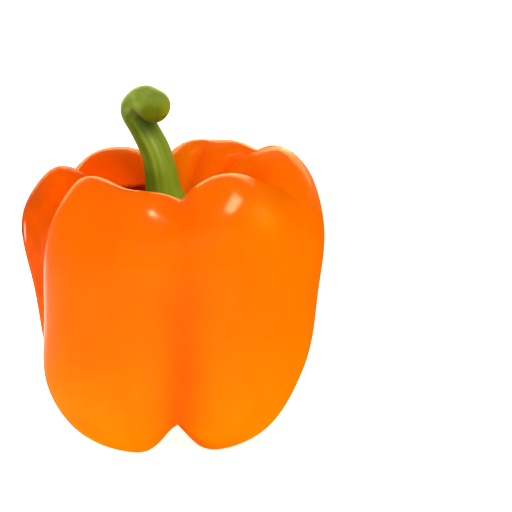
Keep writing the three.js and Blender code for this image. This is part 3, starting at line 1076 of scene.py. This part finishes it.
@dataclass
class Stem:
    """The stem: a calyx bedded on the cavity's floor, and a ridged stalk that ends in a rounded hook."""

    fruit: Fruit
    line: tuple[tuple[float, float, float, float], ...] = (
        (-0.7, 0.4, 69.8, 6.6),
        (-1.6, 0.3, 74.0, 5.3),
        (-2.4, 0.0, 80.0, 4.7),
        (-3.9, 0.0, 86.2, 4.4),
        (-7.0, 0.0, 92.6, 4.15),
        (-9.4, -0.4, 97.4, 4.2),
        (-8.2, -2.7, 100.3, 4.25),
        (-6.2, -5.0, 101.5, 4.6),
        (-3.6, -7.1, 100.5, 4.85),
    )
    knob_length: float = 4.3
    knob_fullness: float = 0.8
    knob_degrees: tuple[float, float] = (7.0, 84.0)
    knob_rows: int = 12
    knob_tip: float = 0.02
    # Painted shade: a dark patch under the hook and a softer one low on the left of the stalk.
    painted_shade_spots: tuple[Spot, ...] = (Spot(-6.8, -6.4, 96.0, 5.2, 0.9), Spot(-8.0, -3.0, 76.0, 6.0, 0.6))
    # Ridges and grooves round the stalk; their heights also set the painted highlight and painted shade.
    ridges: tuple[tuple[float, float, float], ...] = (
        (-126, 17, -0.06),
        (-104, 6, 0.035),
        (-93, 5, -0.015),
        (-76, 12, 0.05),
        (-40, 16, -0.025),
        (-12, 15, 0.04),
        (45, 18, 0.05),
        (98, 18, 0.05),
        (150, 18, 0.05),
        (-168, 16, -0.045),
    )
    ridge_end: float = 2.5
    ridge_contrast: float = 8.0
    ridge_foot: float = 0.3
    ridge_clear: Rise = Rise(1.5, 2.0)
    fibre_radius: float = 4.4
    calyx_points: int = 6
    calyx_gap: float = 0.45
    calyx_edge: float = 10.12
    calyx_reach: float = 0.22
    calyx_sharpness: float = 1.5
    calyx_thick: float = 1.0
    calyx_run: tuple[float, float] = (-12.0, -1.0)
    rows_per_station: int = 10

    def calyx_rings(self, k: np.ndarray, s: np.ndarray, angle: np.ndarray) -> np.ndarray:
        """Rings of the calyx: out along its underside, round its edge, and in again over the top.

        The edge lies at a station of the cavity that swings out at each of the points, and the rings lie
        at shares of the way from it to the middle. The top follows the furrows less than the underside.

        Args:
            k: Bulge number of each column.
            s: Share of the bulge's width of each column.
            angle: Angle of each column, in radians.

        Returns:
            The points by ring, column and axis, in millimetres.
        """
        point = (0.5 + 0.5 * np.cos(self.calyx_points * angle)) ** self.calyx_sharpness
        edge = self.calyx_edge - self.calyx_reach * point
        gap, thick = self.calyx_gap, self.calyx_thick
        plan = [(share, gap, 1.0) for share in (0.85, 0.7, 0.5, 0.35, 0.2, 0.1, 0.04)]
        rim = ((-0.01, 0.25, 0.95), (-0.02, 0.5, 0.9), (-0.01, 0.8, 0.8))
        top = ((0.04, 1.0, 0.7), (0.1, 1.1, 0.7), (0.2, 1.35, 0.7), (0.27, 1.8, 0.7), (0.33, 2.5, 0.7))
        plan += [(share, gap + high * thick, fill) for share, high, fill in rim + top]
        return np.array([
            self.fruit.skin(k, s, mix(edge, LAST_STATION, share)[None], lift, fill)[0][0]
            for share, lift, fill in plan
        ])

    def ridge_wave(self, angle: np.ndarray) -> np.ndarray:
        """Height of the ridges round the stalk, as a share of its radius.

        Args:
            angle: Angles of the columns, in radians.

        Returns:
            The sum of a bell curve for each ridge and each groove.
        """
        middle, spread, height = (np.array(v)[:, None] for v in zip(*self.ridges))
        off = around(angle, middle)
        return (height * np.exp(-((off / spread) ** 2))).sum(axis=0)

    def stalk_rings(self, angle: np.ndarray) -> tuple[np.ndarray, np.ndarray, np.ndarray, np.ndarray]:
        """Rings of the stalk and of the knob that ends it.

        Each ring is a circle in the plane across the centre line, raised at the ridges, which fade out
        towards the knob. The first axis of each plane is the one before it, less its part along the line,
        so the rings never twist. Past the centre line the rings draw in along an ellipsoid.

        Args:
            angle: Angles of the columns, in radians.

        Returns:
            The rings, how high the ridge is at each point from 0 to 1, and for each ring the distance
            along the stalk and the place in the centre line's list.
        """
        table = np.array(self.line)
        last = len(table) - 1
        place = np.linspace(0, last, last * self.rows_per_station + 1)
        line = np.stack([along(table, place, i) for i in range(4)], axis=-1)
        centre, radius = line[:, :3] + self.fruit.shift, line[:, 3]
        way = np.gradient(centre, axis=0)
        way /= np.linalg.norm(way, axis=1, keepdims=True)
        side = np.zeros_like(way)
        axis = np.array([1.0, 0.0, 0.0])
        for i, direction in enumerate(way):
            axis = axis - direction * (axis @ direction)
            axis = axis / np.linalg.norm(axis)
            side[i] = axis
        up = np.cross(way, side)
        wave = self.ridge_wave(angle)
        fade = (smooth(place) * smooth((last - place) / self.ridge_end))[:, None]
        reach = radius[:, None] * (1 + fade * wave)
        spokes = np.cos(angle)[:, None] * side[:, None] + np.sin(angle)[:, None] * up[:, None]
        body = centre[:, None] + reach[..., None] * spokes
        step = np.linalg.norm(np.diff(centre, axis=0), axis=1)
        distance = np.concatenate([[0.0], np.cumsum(step)])
        turn = np.radians(np.linspace(*self.knob_degrees, self.knob_rows))
        share = np.cos(turn) ** self.knob_fullness
        ahead = centre[-1] + self.knob_length * np.sin(turn)[:, None] * way[-1]
        knob = ahead[:, None] + share[:, None, None] * (body[-1] - centre[-1])
        contrast = self.ridge_contrast * mix(self.ridge_foot, 1.0, self.ridge_clear.share(place))[:, None]
        height = np.clip(0.5 + contrast * fade * wave, 0, 1)
        height = np.concatenate([height, np.full(knob.shape[:2], 0.5)])
        distance = np.concatenate([distance, distance[-1] + self.knob_length * np.sin(turn)])
        place = np.concatenate([place, last + np.sin(turn)])
        return np.concatenate([body, knob]), height, distance, place

    def build(self, finish: GreenStalk) -> bpy.types.Object:
        """Makes the stem and dresses it.

        Args:
            finish: Finish of the stem.

        Returns:
            The finished piece, in the place of the solid stem.
        """
        k, s = self.fruit.columns(2)
        angle = mix(self.fruit.top[k], self.fruit.top[k + 1], s)
        calyx = self.calyx_rings(k, s, angle)
        stalk, ridge, distance, place = self.stalk_rings(angle)
        rings = np.concatenate([calyx, stalk])
        start = self.fruit.skin(k[:1], s[:1], np.array([[float(LAST_STATION)]]), self.calyx_gap)[0][0, 0]
        ahead = stalk[-1].mean(axis=0) - stalk[-2].mean(axis=0)
        end = stalk[-1].mean(axis=0) + self.knob_tip * ahead / np.linalg.norm(ahead)
        mesh = closed_mesh("pepper_stem", rings, start, end)
        run = np.concatenate([np.linspace(*self.calyx_run, len(calyx)), distance])[:, None]
        side, front = self.fibre_radius * np.cos(angle), self.fibre_radius * np.sin(angle)
        straight = np.stack(np.broadcast_arrays(side, front, run), axis=-1)
        before, after = self.calyx_run[0] - 2, float(run.max()) + 0.5
        write_attribute(mesh, "straight", straight, (0.0, 0.0, before), (0.0, 0.0, after))
        ridges = np.concatenate([np.full(calyx.shape[:2], 0.5), ridge])
        write_attribute(mesh, "ridge", ridges, 0.5, 0.5)
        along_list = np.concatenate([np.zeros(len(calyx)), place])[:, None] * np.ones_like(angle)
        write_attribute(mesh, "place", along_list, 0.0, float(len(self.line)))
        # Share of the painted shade at each point.
        painted_shade = np.max([spot.share(rings) for spot in self.painted_shade_spots], axis=0)
        write_attribute(mesh, "painted_shade", painted_shade, 0.0, 0.0)
        piece = new_piece("pepper_stem", mesh, finish.build())
        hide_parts("stem")
        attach(piece, "root")
        return piece


class Use(Enum):
    """What a lamp is for, and its colour. Highlights and the rim show in gloss alone, the fill in none."""

    HIGHLIGHT = (1.0, 0.87, 0.45)
    RIM = (1.0, 0.8, 0.3)
    FILL = (1.0, 1.0, 1.0)


@dataclass(frozen=True)
class Lamp:
    """One area lamp: its use, its place, width and height in metres, its watts and the point it faces."""

    use: Use
    place: tuple[float, float, float]
    size: tuple[float, float]
    watts: float
    aim: tuple[float, float, float] = (0.0, 0.0, 0.05)

    def build(self) -> bpy.types.Object:
        """Makes the light.

        Returns:
            The light, in the scene.
        """
        data = bpy.data.lights.new(self.use.name.lower(), "AREA")
        data.shape = "RECTANGLE"
        data.size, data.size_y = self.size
        data.energy = self.watts
        data.color = self.use.value
        light = bpy.data.objects.new(data.name, data)
        turn = (Vector(self.aim) - Vector(self.place)).to_track_quat("-Z", "Y")
        light.matrix_world = Matrix.Translation(self.place) @ turn.to_matrix().to_4x4()
        light.visible_camera = False
        light.visible_glossy = self.use is not Use.FILL
        light.visible_diffuse = self.use is Use.FILL
        bpy.context.scene.collection.objects.link(light)
        return light


@dataclass
class Studio:
    """White board, soft lights, pale surroundings and the camera of the photograph."""

    shift: np.ndarray
    elevation: float = 15.0
    distance_mm: float = 650.0
    pixels_per_mm: float = 3.3
    axis_pixel: float = 171.0
    floor_pixel: float = 428.0
    sensor_mm: float = 36.0
    nearest: float = 0.05
    board_half_side: float = 2.0
    board_height: float = -0.0001
    brightest_way: tuple[float, float, float] = (-0.3, 0.9, -0.3)
    brightest_from: float = 0.9
    sky: tuple[float, float] = (0.4, 2.2)
    lamps: tuple[Lamp, ...] = (
        Lamp(Use.HIGHLIGHT, (0.175, -0.085, 0.6), (0.23, 0.13), 10.0),
        Lamp(Use.HIGHLIGHT, (0.52, 0.02, 0.4), (0.3, 0.3), 1.5),
        Lamp(Use.HIGHLIGHT, (0.021, -0.027, 0.62), (0.034, 0.02), 1.25),
        Lamp(Use.RIM, (-0.05, 0.8, 0.42), (1.7, 0.55), 52.0, (0.0, 0.0, 0.08)),
        Lamp(Use.FILL, (0.12, -1.1, 0.75), (1.2, 0.9), 12.0),
    )

    def camera(self) -> bpy.types.Object:
        """Makes the camera.

        It looks along +Y, tilted down by the elevation, and is moved aside so that the pepper's axis and
        foot fall on their pixels.

        Returns:
            The camera, in the scene.
        """
        e = math.radians(self.elevation)
        forward = Vector((0.0, math.cos(e), -math.sin(e)))
        up = Vector((0.0, math.sin(e), math.cos(e)))
        aside = (IMAGE_PIXELS / 2 - self.axis_pixel) / self.pixels_per_mm
        above = (self.floor_pixel - IMAGE_PIXELS / 2) / self.pixels_per_mm
        place = Vector(self.shift) - forward * self.distance_mm + Vector((aside, 0, 0)) + up * above
        data = bpy.data.cameras.new("camera")
        data.sensor_width = self.sensor_mm
        data.sensor_fit = "HORIZONTAL"
        data.lens = self.pixels_per_mm * self.distance_mm * self.sensor_mm / IMAGE_PIXELS
        data.clip_start = self.nearest
        camera = bpy.data.objects.new("camera", data)
        camera.location = place * MM
        camera.rotation_euler = (math.radians(90 - self.elevation), 0.0, 0.0)
        bpy.context.scene.collection.objects.link(camera)
        bpy.context.scene.camera = camera
        return camera

    def floor(self) -> bpy.types.Object:
        """Makes the board, a square that lies just under the feet.

        Returns:
            The board, marked as stage.
        """
        mesh = bpy.data.meshes.new("board")
        side, z = self.board_half_side, self.board_height
        corners = [(-side, -side, z), (side, -side, z), (side, side, z), (-side, side, z)]
        mesh.from_pydata(corners, [], [(0, 1, 2, 3)])
        board = new_piece("board", mesh, OpalLightBoard().build())
        return board

    def surroundings(self) -> None:
        """Makes the pale surroundings, brightest behind the pepper on the left and dimmest in front."""
        world = bpy.data.worlds.new("surroundings")
        bpy.context.scene.world = world
        world.use_nodes = True
        tree = world.node_tree
        tree.nodes.clear()
        way = add(tree, "ShaderNodeTexCoord", {}, {}).outputs["Generated"]
        towards = add(tree, "ShaderNodeVectorMath", {"operation": "DOT_PRODUCT"}, {
            0: way, 1: self.brightest_way})
        light = add(tree, "ShaderNodeMapRange", {"interpolation_type": "SMOOTHSTEP"}, {
            "Value": towards.outputs["Value"],
            "From Min": 0.0,
            "From Max": self.brightest_from,
            "To Min": self.sky[0],
            "To Max": self.sky[1],
        })
        shader = add(tree, "ShaderNodeBackground", {}, {
            "Color": (1.0, 1.0, 1.0, 1.0), "Strength": light.outputs[0]})
        add(tree, "ShaderNodeOutputWorld", {}, {"Surface": shader.outputs[0]})

    def build(self) -> None:
        """Sets up the whole studio."""
        self.camera()
        self.floor()
        for lamp in self.lamps:
            lamp.build()
        self.surroundings()
        bpy.context.scene.view_settings.view_transform = "Standard"


def main() -> None:
    """Builds the pepper and its studio."""
    logging.basicConfig(level=logging.INFO, format="%(message)s")
    fruit = Fruit()
    fruit.settle()
    stem = Stem(fruit)
    pieces = [fruit.build(RipePepperSkin()), stem.build(GreenStalk())]
    Studio(fruit.shift).build()
    for piece in pieces:
        LOG.info("%s: %d faces", piece.name, len(piece.data.polygons))


if __name__ == "__main__":
    main()
